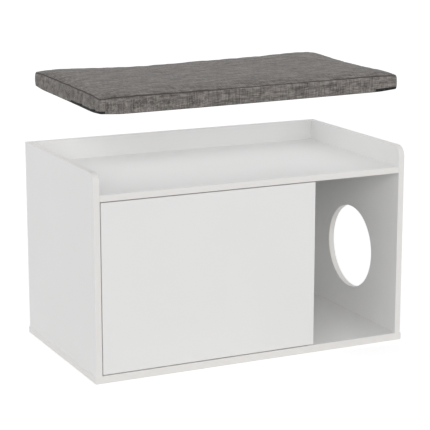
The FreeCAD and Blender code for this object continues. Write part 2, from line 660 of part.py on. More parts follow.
back_bolts = new_group("back_cam_bolts", LEFT_INNER, BACK_INNER, BASE)
bolt_row(back_bolts, "YZ_Plane", "0", [(MID_BOARD, z) for z in BACK_BOLT_ZS], True)
bolt_row(back_bolts, "YZ_Plane", INNER_WIDTH, [(MID_BOARD, z) for z in BACK_BOLT_ZS], False)

divider_bolts = new_group("divider_cam_bolts", DIVIDER_LEFT, f"{FRONT} + {DIVIDER_SETBACK}", BASE)
bolt_row(divider_bolts, "XY_Plane", CHAMBER, [(MID_BOARD, y) for y in DIVIDER_BOLT_YS], False)


def dowel_row(group, plane, level, centres, to_plus):
    """Dowels, part in the facing board and part in the board's end."""
    sign = "-" if to_plus else "+"
    studs(group, plane, f"{level} {sign} {dim('dowel_seat')}", centres, dim("dowel_diameter"),
          f"({dim('dowel_seat')} + {dim('dowel_reach')})", to_plus)


seat_dowels = new_group("seat_dowels", LEFT_INNER, FRONT, f"{BASE} + {CHAMBER}")
dowel_row(seat_dowels, "YZ_Plane", "0", [(y, MID_BOARD) for y in SEAT_DOWEL_YS], True)
dowel_row(seat_dowels, "YZ_Plane", INNER_WIDTH, [(y, MID_BOARD) for y in SEAT_DOWEL_YS], False)
dowel_row(seat_dowels, "XZ_Plane", SEAT_DEPTH, [(x, MID_BOARD) for x in BACK_DOWEL_XS], False)
divider_dowels = new_group("divider_dowels", DIVIDER_LEFT, f"{FRONT} + {DIVIDER_SETBACK}", BASE)
dowel_row(divider_dowels, "XY_Plane", CHAMBER, [(MID_BOARD, y) for y in DIVIDER_DOWEL_YS], False)

base_screws = new_group("base_screws", f"{LEFT_FACE} - {dim('base_overhang')}", FRONT, "0")
studs(base_screws, "XY_Plane", dim("base_screw_recess"), base_places,
      dim("base_screw_diameter"), dim("base_screw_length"), True)
studs(base_screws, "XY_Plane", dim("base_screw_recess"), base_places,
      dim("base_screw_head"), dim("base_screw_head_height"), True)


# --------------------------------------------------------------------- hinges
ARM_SCREW_REACH = f"({dim('plate_spine_height')} - {END_PLAY})"


def strip(points, thickness, width):
    """A bent strip on edge: a line through points, as thick as asked."""
    edges = [Part.LineSegment(start, end).toShape() for start, end in zip(points, points[1:])]
    outline = Part.Wire(edges).makeOffset2D(thickness / 2, 0, False, False, True)
    if outline.ShapeType != "Wire":
        outline = outline.Wires[0]
    face = Part.Face(outline)
    face.translate(Vector(0, 0, -width / 2))
    return face.extrude(Vector(0, 0, width))


def upright(radius, height, point):
    """A round bar along Z, centred on a point."""
    return Part.makeCylinder(radius, height, point - Vector(0, 0, height / 2))


# The one hinge pin, seen from above: inset from the side panel, setback.
AXIS = Vector(number(CUP_INSET), number(dim("axis_depth")), 0)
# The door's back edge beside the side panel swings this far in.
door_corner = Vector(number(REVEAL), number(DOOR_BOARD), 0)
SWEEP = AXIS.y + AXIS.distanceToPoint(door_corner)
print(f"door turns about x {number(LEFT_INNER) + AXIS.x:.3f} y {number(FRONT) + AXIS.y:.3f}")


def hinge_arm_shape():
    """Arm from the mounting plate, bent round the open door into the cup."""
    thickness = number(dim("arm_thickness"))
    width = number(dim("arm_width"))
    level = number(dim("plate_spine_height")) + thickness / 2
    setback = number(dim("plate_setback"))
    half_spine = number(dim("plate_spine_length")) / 2
    cross = SWEEP + number(dim("arm_clear")) + thickness / 2
    neck = AXIS.x + number(dim("arm_neck_offset"))
    heel = Vector(level, setback + half_spine, 0)
    path = [heel, Vector(level, cross, 0), Vector(neck, cross, 0),
            Vector(neck, AXIS.y + number(dim("arm_leg_rise")), 0), AXIS]
    shape = strip(path, thickness, width)
    rail_width = number(dim("arm_rail_width"))
    rail_front = Vector(level - thickness / 2, setback - half_spine, -rail_width / 2)
    shape = shape.fuse(Part.makeBox(thickness, 2 * half_spine, rail_width, rail_front))
    shape = shape.fuse(upright(number(dim("arm_eye_radius")), width, AXIS))
    hole = upright(number(dim("hinge_pin_diameter")) / 2 + number(dim("pin_clearance")), width, AXIS)
    bore = number(dim("hinge_screw_diameter")) / 2 + 2 * number(CLEAR)
    middle = Vector(0, number(dim("arm_screw_setback")), 0)
    screw_hole = Part.makeCylinder(bore, level + thickness, middle, Vector(1, 0, 0))
    return shape.cut(hole).cut(screw_hole).removeSplitter()


def hinge_cup(name, rise):
    """Steel cup pressed into the door, with its flange and two ears."""
    body = new_body(name, f"{LEFT_INNER} + {CUP_INSET}", f"{FRONT} + {DOOR_BOARD}", f"{BASE} + {rise}")
    plane = "XZ_Plane"
    pegs(body, "bowl", plane, "0", [("0", "0")], dim("cup_diameter"), dim("cup_depth"), False)
    pegs(body, "flange", plane, "0", [("0", "0")], dim("flange_diameter"), dim("flange_thickness"), True)
    ears = new_sketch(body, "ear_outline", plane)
    width = f"(2 * {dim('ear_radius')})"
    draw_rectangle(ears, f"{dim('ear_offset')} - {dim('ear_radius')}",
                   f"-{dim('ear_spacing')} / 2 - {dim('ear_radius')}", width,
                   f"({dim('ear_spacing')} + {width})")
    grow(body, "ears", ears, dim("flange_thickness"), plane)
    drill(body, "hollow", plane, dim("flange_thickness"), [("0", "0")],
          f"({dim('cup_diameter')} - 2 * {dim('cup_wall')})",
          f"({dim('cup_depth')} + {dim('flange_thickness')} - {dim('cup_wall')})", False)
    bore(body, plane, dim("flange_thickness"),
         [(dim("ear_offset"), f"{sign}{dim('ear_spacing')} / 2") for sign in ("", "-")],
         f"({dim('hinge_screw_diameter')} + 4 * {CLEAR})", dim("flange_thickness"), False)
    return body


def hinge_plate(name, rise):
    """Mounting plate: two wings under screws, and a spine for the arm."""
    body = new_body(name, LEFT_INNER, FRONT, f"{BASE} + {rise}")
    plane = "YZ_Plane"
    wings = new_sketch(body, "wing_outline", plane)
    radius, setback, spacing = dim("plate_wing_radius"), dim("plate_setback"), dim("plate_screw_spacing")
    draw_rectangle(wings, f"{setback} - {radius}", f"-{spacing} / 2 - {radius}", f"(2 * {radius})",
                   f"({spacing} + 2 * {radius})")
    grow(body, "wings", wings, dim("plate_wing_thickness"), plane)
    spine = new_sketch(body, "spine_outline", plane)
    length, width = dim("plate_spine_length"), dim("plate_spine_width")
    draw_rectangle(spine, f"{setback} - {length} / 2", f"-{width} / 2", length, width)
    grow(body, "spine", spine, dim("plate_spine_height"), plane)
    bore(body, plane, dim("plate_wing_thickness"),
         [(setback, f"{sign}{spacing} / 2") for sign in ("", "-")],
         f"({dim('hinge_screw_diameter')} + 4 * {CLEAR})", dim("plate_wing_thickness"), False)
    bore(body, plane, dim("plate_spine_height"), [(dim("arm_screw_setback"), "0")],
         f"({dim('hinge_screw_diameter')} + 2 * {CLEAR})", ARM_SCREW_REACH, False)
    return body


for position, rise in HINGE_RISES.items():
    hinge_cup(f"{position}_hinge_cup", rise)
    hinge_plate(f"{position}_hinge_plate", rise)
    solid_piece(f"{position}_hinge_arm", hinge_arm_shape(), LEFT_INNER, FRONT, f"{BASE} + {rise}")

PIN_LENGTH = f"({dim('cup_diameter')} - 2 * {dim('cup_wall')} - {CLEAR})"
pin_radius, pin_length = number(dim("hinge_pin_diameter")) / 2, number(PIN_LENGTH)
pins = [upright(pin_radius, pin_length, Vector(0, 0, number(rise))) for rise in HINGE_RISES.values()]
solid_piece("hinge_pins", Part.makeCompound(pins), f"{LEFT_INNER} + {CUP_INSET}",
            f"{FRONT} + {dim('axis_depth')}", BASE)

SCREW_HEAD = dim("hinge_screw_head")
SCREW_HEAD_HEIGHT = dim("hinge_screw_head_height")


def small_screws(name, place, plane, level, centres, to_plus):
    """Small pan-head screws; level is the face that their heads sit on."""
    group = new_group(name, *place)
    studs(group, plane, level, centres, SCREW_HEAD, SCREW_HEAD_HEIGHT, not to_plus)
    studs(group, plane, level, centres, dim("hinge_screw_diameter"),
          f"({dim('hinge_screw_length')} - {END_PLAY})", to_plus)
    return group


small_screws("hinge_plate_screws", (LEFT_FACE, FRONT, BASE), "YZ_Plane",
             f"{BOARD} + {dim('plate_wing_thickness')}", plate_screws, False)
small_screws("hinge_cup_screws", (DOOR_LEFT, FRONT, DOOR_BOTTOM), "XZ_Plane",
             f"{DOOR_BOARD} + {dim('flange_thickness')}", CUP_SCREWS, False)

arm_screws = new_group("hinge_arm_screws", LEFT_INNER, FRONT, BASE)
arm_top = f"{dim('plate_spine_height')} + {dim('arm_thickness')}"
arm_screw_places = [(dim("arm_screw_setback"), rise) for rise in HINGE_RISES.values()]
studs(arm_screws, "YZ_Plane", arm_top, arm_screw_places, SCREW_HEAD, SCREW_HEAD_HEIGHT, True)
studs(arm_screws, "YZ_Plane", arm_top, arm_screw_places, dim("hinge_screw_diameter"),
      f"({dim('arm_thickness')} + {ARM_SCREW_REACH} - {END_PLAY})", False)

# ----------------------------------------------------------------- push latch
LATCH_FRONT = f"({FRONT} + {DOOR_BOARD} + {dim('latch_setback')})"
LATCH_WIDTH, LATCH_HEIGHT = dim("latch_width"), dim("latch_height")
PLUNGER_BORE = f"({LATCH_WIDTH} - 2 * {dim('latch_wall')})"
PLUNGER_SIZE = f"({PLUNGER_BORE} - 2 * {dim('plunger_play')})"

housing = new_body("latch_housing", DIVIDER_LEFT, LATCH_FRONT, f"{BASE} + {dim('latch_rise')}")
shell = new_sketch(housing, "outline", "XZ_Plane")
draw_rectangle(shell, f"-{LATCH_WIDTH}", f"-{LATCH_HEIGHT} / 2", LATCH_WIDTH, LATCH_HEIGHT)
grow(housing, "shell", shell, dim("latch_length"), "XZ_Plane")
flange = new_sketch(housing, "flange_outline", "XZ_Plane")
draw_rectangle(flange, f"-{dim('latch_flange_thickness')}", f"-{dim('latch_flange_height')} / 2",
               dim("latch_flange_thickness"), dim("latch_flange_height"))
grow(housing, "flange", flange, dim("latch_flange_length"), "XZ_Plane")
way = new_sketch(housing, "way_outline", "XZ_Plane")
draw_rectangle(way, f"-{LATCH_WIDTH} / 2 - {PLUNGER_BORE} / 2", f"-{PLUNGER_BORE} / 2",
               PLUNGER_BORE, PLUNGER_BORE)
cut(housing, "way", way, f"({dim('latch_length')} - {dim('latch_wall')})", "XZ_Plane", True)
bore(housing, "YZ_Plane", f"-{dim('latch_flange_thickness')}",
     [(f"{dim('latch_flange_length')} / 2", f"{sign}{dim('latch_screw_spacing')} / 2")
      for sign in ("", "-")],
     f"({dim('hinge_screw_diameter')} + 4 * {CLEAR})", dim("latch_flange_thickness"), True)
small_screws("latch_screws", (DIVIDER_LEFT, f"{FRONT} + {DIVIDER_SETBACK}", BASE), "YZ_Plane",
             f"-{dim('latch_flange_thickness')}", LATCH_SCREWS, True)

TIP = f"({FRONT} + {DOOR_BOARD} + {dim('strike_thickness')} + {dim('strike_gap')})"
latch_place = (LATCH_X, TIP, f"{BASE} + {dim('latch_rise')}")
plunger = new_body("latch_plunger", *latch_place)
bar = new_sketch(plunger, "outline", "XZ_Plane")
draw_rectangle(bar, f"-{PLUNGER_SIZE} / 2", f"-{PLUNGER_SIZE} / 2", PLUNGER_SIZE, PLUNGER_SIZE)
grow(plunger, "bar", bar, dim("plunger_length"), "XZ_Plane")
bore(plunger, "XZ_Plane", "0", [("0", "0")],
     f"({dim('magnet_diameter')} + 2 * {CLEAR})", dim("magnet_thickness"), True)
magnet = new_group("latch_magnet", *latch_place)
studs(magnet, "XZ_Plane", "0", [("0", "0")], dim("magnet_diameter"), dim("magnet_thickness"), True)

strike = new_body("strike_plate", LATCH_X, f"{FRONT} + {DOOR_BOARD}", f"{BASE} + {dim('latch_rise')}")
pegs(strike, "disc", "XZ_Plane", "0", [("0", "0")], dim("strike_diameter"), dim("strike_thickness"), True)
bore(strike, "XZ_Plane", dim("strike_thickness"), [("0", "0")],
     f"({dim('hinge_screw_diameter')} + 4 * {CLEAR})", dim("strike_thickness"), False)
strike_screw = new_group("strike_screw", LATCH_X, f"{FRONT} + {DOOR_BOARD}",
                         f"{BASE} + {dim('latch_rise')}")
studs(strike_screw, "XZ_Plane", dim("strike_thickness"), [("0", "0")],
      dim("hinge_screw_diameter"),
      f"({dim('hinge_screw_length')} + {dim('strike_thickness')} - {END_PLAY})", False)


# -------------------------------------------------------------------- cushion
def cushion_ring(inset, level, draw):
    """Outline of the cushion at one level, its sides drawn in by arcs."""
    half_x = number(dim("cushion_width")) / 2 - inset
    half_y = number(dim("cushion_depth")) / 2 - inset
    corner = number(dim("cushion_corner"))
    diagonal = corner * (1 - math.sqrt(0.5))
    edges = []
    for turn_x, turn_y in ((1, 1), (-1, 1), (-1, -1), (1, -1)):
        along_x = Vector(turn_x * (half_x - corner), turn_y * half_y, level)
        along_y = Vector(turn_x * half_x, turn_y * (half_y - corner), level)
        middle = Vector(turn_x * (half_x - diagonal), turn_y * (half_y - diagonal), level)
        if turn_x == turn_y:
            start, end = along_y, along_x
            straight = Vector(0, turn_y * (half_y - draw), level)
            next_start = Vector(-turn_x * (half_x - corner), turn_y * half_y, level)
        else:
            start, end = along_x, along_y
            straight = Vector(turn_x * (half_x - draw), 0, level)
            next_start = Vector(turn_x * half_x, -turn_y * (half_y - corner), level)
        edges.append(Part.Arc(start, middle, end).toShape())
        edges.append(Part.Arc(end, straight, next_start).toShape())
    return Part.Wire(edges)


def cushion_form():
    """Closed form of the filled cover, above its base fabric."""
    height = number(dim("cushion_height"))
    crown = number(dim("cushion_crown"))
    draw = number(dim("cushion_draw"))
    bulge = number(dim("cushion_bulge"))
    run = number(dim("cushion_crown_run"))
    foot = number(dim("base_fabric"))
    belly = height - 2 * foot
    rings = [(bulge, foot), (bulge * 0.25, foot + belly * 0.25), (0, foot + belly * 0.5),
             (bulge * 0.25, foot + belly * 0.75), (bulge, height),
             (bulge + run * 0.1, height + crown * 0.3), (bulge + run * 0.33, height + crown * 0.7),
             (bulge + run, height + crown)]
    outlines = [cushion_ring(inset, level, draw) for inset, level in rings]
    return Part.makeLoft(outlines, True, True)


cushion_y = f"({BACK_INNER} - {dim('cushion_rear_play')} - {dim('cushion_depth')} / 2)"
cushion_z = f"({SEAT_TOP} + {dim('cushion_rest_gap')} + {dim('cushion_lift')})"
cushion_place = ("0", cushion_y, cushion_z)
cushion = cushion_form()
zip_length, zip_width = number(dim("zip_length")), number(dim("zip_width"))
tape = number(dim("zip_tape"))
# the band's middle stands where its side is drawn in the most
band_y = number(dim("cushion_depth")) / 2 - number(dim("cushion_draw"))
zip_box = Part.makeBox(zip_length, 2 * tape, zip_width,
                       Vector(-zip_length / 2, band_y - tape, number(dim("zip_rise"))))
zip_tape = cushion.common(zip_box)
bottom_ring = cushion_ring(number(dim("cushion_bulge")), 0, number(dim("cushion_draw")))
base_sheet = Part.Face(bottom_ring).extrude(Vector(0, 0, number(dim("base_fabric"))))
solid_piece("cushion_body", cushion.cut(zip_box), *cushion_place)
solid_piece("cushion_base_fabric", base_sheet, *cushion_place)
solid_piece("cushion_zip", zip_tape, *cushion_place)

# ------------------------------------------------------------- finish pieces
for name, (place, made) in groups.items():
    whole = made[0].multiFuse(made[1:]).removeSplitter() if len(made) > 1 else made[0]
    solid_piece(name, whole, *place)

finished = []
for name, (body, place) in bodies.items():
    if name not in drillings:
        set_down(body, place)
        finished.append(body)
        continue
    body.Label = f"{name}_blank"
    tools = doc.addObject("Part::Feature", f"{name}_drillings")
    tools.Shape = Part.makeCompound(drillings[name])
    piece = doc.addObject("Part::Cut", f"{name}_drilled")
    piece.Label = name
    piece.Base, piece.Tool = body, tools
    set_down(piece, place)
    finished.append(piece)

# -------------------------------------------------------------- check, export
doc.recompute()
for item in doc.Objects:
    if "Invalid" in item.State or "Error" in item.State:
        raise RuntimeError(f"{item.Label} failed: {item.State}")
for body, pocket in cuts:
    before = pocket.BaseFeature.Shape.Volume
    if pocket.Shape.Volume > before - 0.1:
        raise RuntimeError(f"{pocket.Label} cuts nothing")

for piece in finished:
    if piece.TypeId == "Part::Cut":
        wanted = sum(bar.common(piece.Base.Shape).Volume > 1 for bar in piece.Tool.Shape.Solids)
        if wanted < len(piece.Tool.Shape.Solids):
            raise RuntimeError(f"{piece.Label}: a drilling misses the board")

loose = [item for item in doc.Objects if item.TypeId == "Part::Feature" and "drillings" not in item.Name]
pieces = finished + loose
for piece in pieces:
    if piece.Shape.isNull() or not piece.Shape.isValid() or not piece.Shape.Solids:
        raise RuntimeError(f"{piece.Label} has no valid solid")
os.makedirs("parts", exist_ok=True)
for piece in pieces:
    piece.Shape.exportStep(f"parts/{piece.Label}.step")
    print(f"{piece.Label}: {len(piece.Shape.Solids)} solids, {piece.Shape.Volume / 1000:.1f} cm3")
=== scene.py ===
"""Looks of the litter box cabinet: board, steel and linen materials, a cushion
shaped as sewn fabric, a pale floor and soft studio light."""
import json
import math

import bmesh
import bpy
import numpy as np
from mathutils import Euler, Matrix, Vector


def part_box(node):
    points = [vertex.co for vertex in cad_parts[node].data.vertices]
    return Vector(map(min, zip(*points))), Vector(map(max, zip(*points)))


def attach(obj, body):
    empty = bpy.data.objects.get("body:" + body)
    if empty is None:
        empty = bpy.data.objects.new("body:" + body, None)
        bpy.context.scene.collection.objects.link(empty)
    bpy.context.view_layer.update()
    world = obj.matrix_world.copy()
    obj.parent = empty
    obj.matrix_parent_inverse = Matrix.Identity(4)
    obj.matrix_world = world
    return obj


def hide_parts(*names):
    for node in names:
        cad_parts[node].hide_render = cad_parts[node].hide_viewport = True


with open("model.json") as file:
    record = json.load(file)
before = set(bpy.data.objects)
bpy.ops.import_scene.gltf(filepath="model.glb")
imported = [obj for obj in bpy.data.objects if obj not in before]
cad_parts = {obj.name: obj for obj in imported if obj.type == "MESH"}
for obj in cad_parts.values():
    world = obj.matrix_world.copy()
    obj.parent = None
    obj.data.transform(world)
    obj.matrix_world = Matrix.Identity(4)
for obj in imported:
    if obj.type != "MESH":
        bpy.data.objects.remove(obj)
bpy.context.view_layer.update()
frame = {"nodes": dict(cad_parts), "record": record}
nodes = frame["nodes"]

# ------------------------------------------------------------------ materials


def new_material(name, colour, roughness, metallic=0.0):
    """A material with one Principled shader; returns it with its parts."""
    material = bpy.data.materials.new(name)
    material.use_nodes = True
    tree = material.node_tree
    shader = tree.nodes["Principled BSDF"]
    shader.inputs["Base Color"].default_value = (*colour, 1)
    shader.inputs["Roughness"].default_value = roughness
    shader.inputs["Metallic"].default_value = metallic
    return material, tree, shader


def object_coordinates(tree, scale=(1, 1, 1)):
    """Object coordinates, stretched by a scale on each axis."""
    source = tree.nodes.new("ShaderNodeTexCoord")
    mapping = tree.nodes.new("ShaderNodeMapping")
    mapping.inputs["Scale"].default_value = scale
    tree.links.new(source.outputs["Object"], mapping.inputs["Vector"])
    return mapping.outputs["Vector"]


def noise(tree, vector, scale, detail=3.0, roughness=0.5):
    """A noise texture's factor."""
    node = tree.nodes.new("ShaderNodeTexNoise")
    node.inputs["Scale"].default_value = scale
    node.inputs["Detail"].default_value = detail
    node.inputs["Roughness"].default_value = roughness
    tree.links.new(vector, node.inputs["Vector"])
    return node.outputs["Fac"]


def math_node(tree, operation, first, second=0.0):
    """A maths node; each input is a number or a socket."""
    node = tree.nodes.new("ShaderNodeMath")
    node.operation = operation
    for socket, value in zip(node.inputs, (first, second)):
        if isinstance(value, (int, float)):
            socket.default_value = value
        else:
            tree.links.new(value, socket)
    return node.outputs[0]


def toned(factor, colour):
    """A colour made darker or lighter."""
    return tuple(factor * channel for channel in colour)


def ramp(tree, factor, stops):
    """A colour ramp with (position, colour) stops."""
    node = tree.nodes.new("ShaderNodeValToRGB")
    elements = node.color_ramp.elements
    while len(elements) < len(stops):
        elements.new(0.5)
    for element, (position, colour) in zip(elements, stops):
        element.position = position
        element.color = (*colour, 1)
    tree.links.new(factor, node.inputs["Fac"])
    return node.outputs["Color"]


def bump(tree, shader, height, strength, distance):
    """Connects a bump to the shader."""
    node = tree.nodes.new("ShaderNodeBump")
    node.inputs["Strength"].default_value = strength
    node.inputs["Distance"].default_value = distance
    tree.links.new(height, node.inputs["Height"])
    tree.links.new(node.outputs["Normal"], shader.inputs["Normal"])


BOARD_WHITE = (0.87, 0.87, 0.863)
EDGE_WHITE = (0.85, 0.835, 0.815)
BOARD_ROUGHNESS = 0.42
FACE_COSINE = 0.72                 # a normal nearer the board's axis is on a face
MOTTLE = 0.985                     # darkest share of the board's white

BOARD_FACES = {                    # axis that each board's faces look along
    "left_side_panel": 0, "right_side_panel": 0, "divider_panel": 0,
    "base_panel": 2, "seat_panel": 2, "back_panel": 1, "door_panel": 1,
}


def board_material(name, face_axis):
    """White melamine on the faces, a slightly warmer band on the edges."""
    material, tree, shader = new_material(name, BOARD_WHITE, BOARD_ROUGHNESS)
    source = tree.nodes.new("ShaderNodeTexCoord")
    parts = tree.nodes.new("ShaderNodeSeparateXYZ")
    tree.links.new(source.outputs["Normal"], parts.inputs["Vector"])
    facing = math_node(tree, "ABSOLUTE", parts.outputs[face_axis])
    edge = math_node(tree, "LESS_THAN", facing, FACE_COSINE)
    mottle = noise(tree, object_coordinates(tree), 6.0, 2.0)
    white = ramp(tree, mottle, [(0.3, BOARD_WHITE), (0.7, toned(MOTTLE, BOARD_WHITE))])
    mix = tree.nodes.new("ShaderNodeMix")
    mix.data_type = "RGBA"
    tree.links.new(edge, mix.inputs["Factor"])
    tree.links.new(white, mix.inputs["A"])
    mix.inputs["B"].default_value = (*EDGE_WHITE, 1)
    tree.links.new(mix.outputs["Result"], shader.inputs["Base Color"])
    grain = noise(tree, object_coordinates(tree), 900.0, 2.0)
    bump(tree, shader, grain, 0.08, 0.0004)
    return material


board_materials = {axis: board_material(f"board_{letter}", axis) for axis, letter in enumerate("xyz")}


def grained_material(name, colour, roughness, grain, strength, distance, metallic=0.0, stretch=(1, 1, 1)):
    """A plain material with a fine noise as its bump."""
    material, tree, shader = new_material(name, colour, roughness, metallic)
    bump(tree, shader, noise(tree, object_coordinates(tree, stretch), grain), strength, distance)
    return material


def beech_material():
    """Plain beech with its grain along X."""
    material, tree, shader = new_material("beech", (0.5, 0.34, 0.19), 0.6)
    grain = noise(tree, object_coordinates(tree, (60, 900, 900)), 1.0, 3.0)
    colour = ramp(tree, grain, [(0.35, (0.42, 0.27, 0.14)), (0.65, (0.56, 0.39, 0.23))])
    tree.links.new(colour, shader.inputs["Base Color"])
    return material


SLOT_MATERIALS = {
    "hinge_steel": grained_material(
        "hinge_steel", (0.63, 0.63, 0.62), 0.28, 400.0, 0.05, 0.0003, metallic=1.0, stretch=(1, 1, 8)),
    "cast_zinc": grained_material(
        "cast_zinc", (0.52, 0.52, 0.51), 0.45, 700.0, 0.12, 0.0004, metallic=1.0),
    "fitting_steel": grained_material(
        "plated_steel", (0.58, 0.57, 0.54), 0.32, 600.0, 0.06, 0.0003, metallic=1.0),
    "latch_plastic": grained_material(
        "latch_plastic", (0.62, 0.62, 0.61), 0.5, 800.0, 0.1, 0.0003),
    "dowel_wood": beech_material(),
}
slot_of = {row["node"]: row["material_slot"] for row in frame["record"]["subparts"]}
for name, node in nodes.items():
    if name in BOARD_FACES:
        chosen = board_materials[BOARD_FACES[name]]
    elif slot_of.get(name) in SLOT_MATERIALS:
        chosen = SLOT_MATERIALS[slot_of[name]]
    else:
        continue
    node.data.materials.clear()
    node.data.materials.append(chosen)


LINEN = (0.188, 0.173, 0.162)
CLOTH_ROUGHNESS = 0.95
YARNS_A_METRE = 180.0
# Stretch, detail, roughness and share of each noise that makes up the yarns:
# long streaks, yarns across them, and slubs.
YARN_NOISES = [
    ((40, 480, 480), 4.0, 0.7, 0.45),
    ((480, 55, 55), 3.0, 0.65, 0.30),
    ((20, 110, 110), 3.0, 0.6, 0.25),
]
# Where in that noise the darkest, plain and lightest yarns lie, against LINEN.
YARN_TONES = [(0.41, 0.46), (0.5, 1.0), (0.59, 1.75)]


def linen_material():
    """Heathered grey linen: a plain weave, with darker and lighter yarns."""
    material, tree, shader = new_material("grey_linen", LINEN, CLOTH_ROUGHNESS)
    shader.inputs["Sheen Weight"].default_value = 0.12
    shader.inputs["Sheen Roughness"].default_value = 0.45
    shader.inputs["Specular IOR Level"].default_value = 0.15
    yarns = None
    for stretch, detail, roughness, share in YARN_NOISES:
        layer = noise(tree, object_coordinates(tree, stretch), 1.0, detail, roughness)
        layer = math_node(tree, "MULTIPLY", layer, share)
        yarns = layer if yarns is None else math_node(tree, "ADD", yarns, layer)
    colour = ramp(tree, yarns, [(place, toned(tone, LINEN)) for place, tone in YARN_TONES])
    tree.links.new(colour, shader.inputs["Base Color"])
    weave = None
    for direction in ((1, 0, 0), (0, 1, 1)):
        wave = tree.nodes.new("ShaderNodeTexWave")
        wave.inputs["Scale"].default_value = YARNS_A_METRE
        wave.inputs["Distortion"].default_value = 1.5
        wave.inputs["Detail"].default_value = 1.0
        tree.links.new(object_coordinates(tree, direction), wave.inputs["Vector"])
        yarn = wave.outputs["Fac"]
        weave = yarn if weave is None else math_node(tree, "MULTIPLY", weave, yarn)
    height = math_node(tree, "ADD", weave, yarns)
    bump(tree, shader, height, 0.55, 0.0012)
    return material


linen = linen_material()
black_cloth = grained_material("black_base_cloth", (0.012, 0.012, 0.012), 0.9, 900.0, 0.4, 0.0006)
zip_black = new_material("zip_coil", (0.03, 0.03, 0.03), 0.45)[0]
# painted shade: darker linen on the narrow strips either side of the top seam stands in for the shade in its
# groove
seam_shade_material = grained_material("seam_painted_shade", toned(0.4, LINEN), CLOTH_ROUGHNESS, 700.0, 0.5, 0.0008)

# -------------------------------------------------------------------- cushion
cover_low, cover_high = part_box("cushion_body")
base_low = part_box("cushion_base_fabric")[0]
CENTRE = Vector(((cover_low.x + cover_high.x) / 2, (cover_low.y + cover_high.y) / 2, base_low.z))
HALF_X = (cover_high.x - cover_low.x) / 2
HALF_Y = (cover_high.y - cover_low.y) / 2
# Metres. The cushion is a lattice's outside, then moved to a sewn, filled form.
PITCH = 0.0060                     # over the top and the underside
SEAM_HEIGHT = 0.0395               # of the top seam above the underside
SEAM_STEPS = [0.0, 0.0017, 0.0040, 0.0075]      # stops of the lattice beside a seam
BAND_STOPS = [0.0, 0.0021, 0.0042, 0.0085, 0.0140, 0.0200, 0.0260, 0.0310, 0.0355, 0.0378, SEAM_HEIGHT]
CORNER = 0.010                     # radius in plan
CORNER_SOFTNESS, SOFT_REACH = 0.0030, 0.034     # seams come together at the corners
DRAW_IN = 0.004                    # sides drawn in between the corners
DRAW_IN_POWER = 8                  # how soon the draw fades towards the middle
SEAM_TUCK = 0.0022                 # both seams lie behind the band
BAND_SLACK = 0.0008                # the band's retreat towards its seams
BAND_INSET, BAND_RIPPLE = 0.0004, 0.0006        # its fullest part, and the waves on it
SHOULDER = 0.25                    # share of a fold's depth that stands out beside it
TOP_PULL, BASE_PULL = 0.2, 0.5     # shares of a fold's depth that reach the seams
VALLEY_RISE, VALLEY_REACH = 0.0018, 0.003       # steep rise of the top beside its seam
ROLL_RISE, ROLL_REACH = 0.0022, 0.030           # gentler rise behind it
CROWN = 0.0024                     # of the middle over that
WIDE_WAVES, FINE_WAVES = 0.0007, 0.0005         # unevenness of the top
GATHERS, GATHER_START, GATHER_REACH = 0.0006, 0.004, 0.012      # they run in from the seam
SEAM_DIP = 0.0005
EDGE_CURL, CURL_REACH = 0.0020, 0.006           # the underside's edge curls up


def axis_stops(half, pitch):
    """Grid stops over one axis, close together beside both seams."""
    inner = half - SEAM_STEPS[-1]
    count = max(2, round(2 * inner / pitch))
    middle = np.linspace(-inner, inner, count + 1)
    start = [-half + step for step in SEAM_STEPS[:-1]]
    return np.array(start + list(middle) + [-value for value in reversed(start)])


def lattice_mesh(xs, ys, zs):
    """Closed quad mesh over the outside of a lattice, with each vertex's place in it."""
    index, points, places = {}, [], []

    def vertex(i, j, k):
        if (i, j, k) not in index:
            index[(i, j, k)] = len(points)
            points.append((xs[i], ys[j], zs[k]))
            places.append((i, j, k))
        return index[(i, j, k)]

    faces, rings = [], []
    last_x, last_y, last_z = len(xs) - 1, len(ys) - 1, len(zs) - 1
    for i in range(last_x):
        for j in range(last_y):
            ring = min(i, j, last_x - 1 - i, last_y - 1 - j)
            faces.append([vertex(i, j, last_z), vertex(i + 1, j, last_z),
                          vertex(i + 1, j + 1, last_z), vertex(i, j + 1, last_z)])
            rings.append(("top", ring))
            faces.append([vertex(i, j, 0), vertex(i, j + 1, 0),
                          vertex(i + 1, j + 1, 0), vertex(i + 1, j, 0)])
            rings.append(("bottom", ring))
    for k in range(last_z):
        for i in range(last_x):
            faces.append([vertex(i, 0, k), vertex(i + 1, 0, k),
                          vertex(i + 1, 0, k + 1), vertex(i, 0, k + 1)])
            faces.append([vertex(i, last_y, k), vertex(i, last_y, k + 1),
                          vertex(i + 1, last_y, k + 1), vertex(i + 1, last_y, k)])
            rings += [("front", k), ("back", k)]
        for j in range(last_y):
            faces.append([vertex(0, j, k), vertex(0, j, k + 1),
                          vertex(0, j + 1, k + 1), vertex(0, j + 1, k)])
            faces.append([vertex(last_x, j, k), vertex(last_x, j + 1, k),
                          vertex(last_x, j + 1, k + 1), vertex(last_x, j, k + 1)])
            rings += [("left", k), ("right", k)]
    return np.array(points), np.array(places), faces, rings


def round_corners(points, radius):
    """Maps the lattice's square corners to round ones, in plan."""
    across = np.abs(points[:, 0]) - (HALF_X - radius)
    along = np.abs(points[:, 1]) - (HALF_Y - radius)
    u = np.clip(across / radius, 0, 1)
    v = np.clip(along / radius, 0, 1)
    inside = (across > 0) & (along > 0)
    new_u = u * np.sqrt(1 - v * v / 2)
    new_v = v * np.sqrt(1 - u * u / 2)
    points[inside, 0] = (np.sign(points[:, 0]) * (HALF_X - radius + new_u * radius))[inside]
    points[inside, 1] = (np.sign(points[:, 1]) * (HALF_Y - radius + new_v * radius))[inside]


